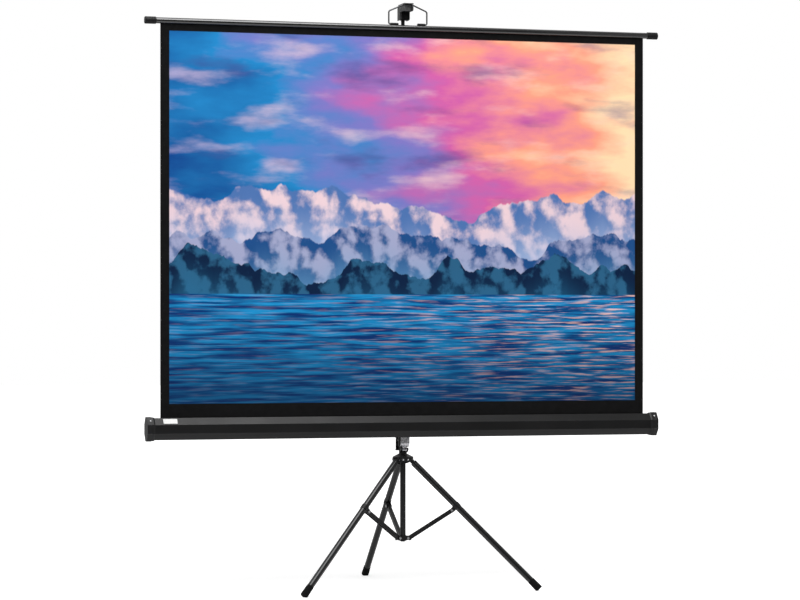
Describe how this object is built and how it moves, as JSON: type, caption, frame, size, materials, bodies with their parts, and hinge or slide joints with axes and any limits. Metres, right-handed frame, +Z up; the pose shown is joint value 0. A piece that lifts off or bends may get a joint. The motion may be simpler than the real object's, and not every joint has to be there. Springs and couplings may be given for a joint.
{
  "type": "portable tripod projection screen",
  "caption": "Pull-up projection screen: spring roller in an eight-sided case on a folding tripod, with a sliding pole whose hook holds the top rail by a wire bail.",
  "frame": {"origin": "on the floor, under the middle of the screen's footprint", "axes": "+Z up; the picture side faces -Y; +X to the right of someone looking at the picture"},
  "size_m": [1.79, 0.7216, 1.9617],
  "materials": {
    "frame_black": "satin black powder coat on steel tube and sheet",
    "moulded_black": "fine-grained moulded black nylon",
    "foot_rubber": "matt black rubber",
    "screen_cloth": "matt white projection cloth with printed black borders",
    "lever_chrome": "bright chromed steel",
    "plated_steel": "zinc-plated steel"
  },
  "bodies": {
    "stand": {"leg_hub": "moulded_black", "mast_tube": "frame_black", "leg_pivot_pins": "plated_steel", "lever_pin": "plated_steel"},
    "leg_rear": {"leg_tube_rear": "frame_black", "leg_knuckle_rear": "moulded_black", "leg_foot_rear": "foot_rubber", "leg_bracket_rear": "frame_black"},
    "leg_left": {"leg_tube_left": "frame_black", "leg_knuckle_left": "moulded_black", "leg_foot_left": "foot_rubber", "leg_bracket_left": "frame_black"},
    "leg_right": {"leg_tube_right": "frame_black", "leg_knuckle_right": "moulded_black", "leg_foot_right": "foot_rubber", "leg_bracket_right": "frame_black"},
    "brace_rear": {"brace_rear": "frame_black", "brace_rivets_rear": "plated_steel"},
    "brace_left": {"brace_left": "frame_black", "brace_rivets_left": "plated_steel"},
    "brace_right": {"brace_right": "frame_black", "brace_rivets_right": "plated_steel"},
    "centre_tube": {"centre_tube": "frame_black", "brace_collar": "moulded_black", "centre_tube_plug": "moulded_black"},
    "carriage": {"carriage_tube": "frame_black", "catch_collar": "moulded_black", "catch_pin": "plated_steel", "pole_clamp": "moulded_black", "swivel_block": "moulded_black", "swivel_washer": "moulded_black", "swivel_stud": "plated_steel", "case_saddle": "frame_black", "case_shell": "frame_black", "case_cap_left": "moulded_black", "case_cap_right": "moulded_black", "bearing_left": "plated_steel", "bearing_right": "plated_steel", "spring_spindle": "plated_steel"},
    "roller": {"roller_tube": "plated_steel", "roller_plug_left": "moulded_black", "roller_plug_right": "moulded_black", "roller_spring": "plated_steel", "fabric_wrap": "screen_cloth"},
    "top_rail": {"top_rail": "frame_black", "rail_cap_left": "moulded_black", "rail_cap_right": "moulded_black", "bail_clips": "frame_black", "screen_fabric": "screen_cloth"},
    "bail": {"bail_wire": "frame_black"},
    "pole": {"extension_pole": "frame_black", "hook_block": "moulded_black", "hook_arm": "frame_black", "hook_rivet": "plated_steel"},
    "lock_lever": {"lock_lever": "lever_chrome"},
    "catch_lever": {"catch_lever": "frame_black"},
    "clamp_knob": {"clamp_knob": "moulded_black", "knob_stud": "plated_steel"}
  },
  "joints": [
    {"name": "leg_fold_rear", "type": "hinge", "parent": "stand", "child": "leg_rear", "pos_m": [0, -0.08829, 0.43127], "axis": [-1, 0, 0], "range_deg": [0, 43]},
    {"name": "leg_fold_left", "type": "hinge", "parent": "stand", "child": "leg_left", "pos_m": [-0.02338, -0.12879, 0.43127], "axis": [0.5, -0.866, 0], "range_deg": [0, 43]},
    {"name": "leg_fold_right", "type": "hinge", "parent": "stand", "child": "leg_right", "pos_m": [0.02338, -0.12879, 0.43127], "axis": [0.5, 0.866, 0], "range_deg": [0, 43]},
    {"name": "brace_fold_rear", "type": "hinge", "parent": "leg_rear", "child": "brace_rear", "pos_m": [0, 0.05593, 0.26391], "axis": [-1, 0, 0], "range_deg": [-101.29, 0]},
    {"name": "brace_fold_left", "type": "hinge", "parent": "leg_left", "child": "brace_left", "pos_m": [-0.14828, -0.20091, 0.26391], "axis": [0.5, -0.866, 0], "range_deg": [-101.29, 0]},
    {"name": "brace_fold_right", "type": "hinge", "parent": "leg_right", "child": "brace_right", "pos_m": [0.14828, -0.20091, 0.26391], "axis": [0.5, 0.866, 0], "range_deg": [-101.29, 0]},
    {"name": "centre_slide", "type": "slide", "parent": "stand", "child": "centre_tube", "axis": [0, 0, 1], "range_m": [-0.13521, 0]},
    {"name": "carriage_lift", "type": "slide", "parent": "stand", "child": "carriage", "axis": [0, 0, 1], "range_m": [0, 0.3]},
    {"name": "pole_slide", "type": "slide", "parent": "carriage", "child": "pole", "axis": [0, 0, 1], "range_m": [-0.72, 0]},
    {"name": "rail_slide", "type": "slide", "parent": "carriage", "child": "top_rail", "axis": [0, 0, 1], "range_m": [-0.7201, 0], "deforming": ["screen_fabric"]},
    {"name": "roller_spin", "type": "hinge", "parent": "carriage", "child": "roller", "pos_m": [0, -0.16329, 0.54507], "axis": [1, 0, 0], "range_deg": [0, 3892.29]},
    {"name": "bail_swing", "type": "hinge", "parent": "top_rail", "child": "bail", "pos_m": [0, -0.17389, 1.89137], "axis": [1, 0, 0], "range_deg": [0, 90]},
    {"name": "lock_lever_press", "type": "hinge", "parent": "stand", "child": "lock_lever", "pos_m": [0, -0.13379, 0.46527], "axis": [1, 0, 0], "range_deg": [0, 30], "stiffness_Nm_per_rad": 1.5, "springref_deg": -5.73},
    {"name": "catch_lever_press", "type": "hinge", "parent": "carriage", "child": "catch_lever", "pos_m": [0, -0.0913, 0.50327], "axis": [-1, 0, 0], "range_deg": [0, 10], "stiffness_Nm_per_rad": 2, "springref_deg": -5.73},
    {"name": "clamp_knob_turn", "type": "hinge", "parent": "carriage", "child": "clamp_knob", "pos_m": [0, -0.08829, 1.16527], "axis": [0, 1, 0], "continuous": true}
  ],
  "couplings": [
    {"joint": "leg_fold_left", "follows": "leg_fold_rear", "ratio": 1},
    {"joint": "leg_fold_right", "follows": "leg_fold_rear", "ratio": 1},
    {"joint": "brace_fold_rear", "follows": "leg_fold_rear", "ratio": -2.3553},
    {"joint": "brace_fold_left", "follows": "leg_fold_rear", "ratio": -2.3553},
    {"joint": "brace_fold_right", "follows": "leg_fold_rear", "ratio": -2.3553},
    {"joint": "centre_slide", "follows": "leg_fold_rear", "m_per_rad": -0.18002},
    {"joint": "rail_slide", "follows": "pole_slide", "ratio": 1},
    {"joint": "roller_spin", "follows": "pole_slide", "rad_per_m": -94.34}
  ]
}
